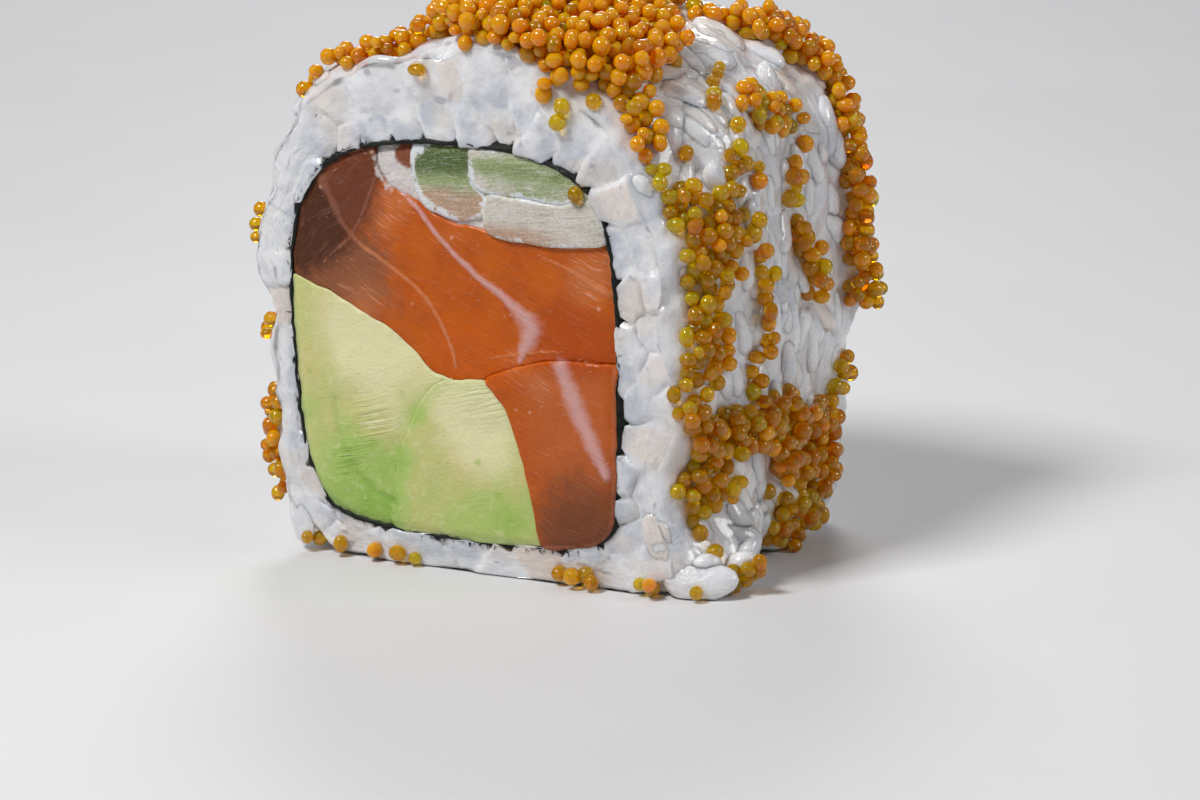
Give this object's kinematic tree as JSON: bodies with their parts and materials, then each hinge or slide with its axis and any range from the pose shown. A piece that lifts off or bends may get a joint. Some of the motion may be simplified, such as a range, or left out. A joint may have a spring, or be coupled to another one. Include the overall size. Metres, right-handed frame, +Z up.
{
  "type": "uramaki roll",
  "caption": "Squared slice of inside-out sushi roll: rice around a nori wrapper with salmon, avocado, cucumber and cream cheese, dotted with orange roe.",
  "frame": {"origin": "middle of the underside of the part's bounding box, on the surface the roll stands on", "axes": "+Z up; the roll's axis lies along Y with the shown cut face towards -Y; +X to the right of that face"},
  "size_m": [0.0467, 0.0328, 0.0491],
  "materials": {
    "rice": "moist, cooked rice grains",
    "nori": "damp black seaweed sheet",
    "salmon": "moist raw flesh with pale veins",
    "avocado": "smooth cut flesh, greener at its rim",
    "cucumber": "moist, partly clear cut flesh",
    "cream_cheese": "soft white paste",
    "roe": "glossy, partly clear orange eggs"
  },
  "bodies": {
    "root": {"rice": "rice", "nori": "nori", "salmon_upper": "salmon", "salmon_lower": "salmon", "avocado_left": "avocado", "avocado_right": "avocado", "cucumber_left": "cucumber", "cucumber_top": "cucumber", "cucumber_lower": "cucumber", "cream_cheese": "cream_cheese"}
  },
  "joints": []
}
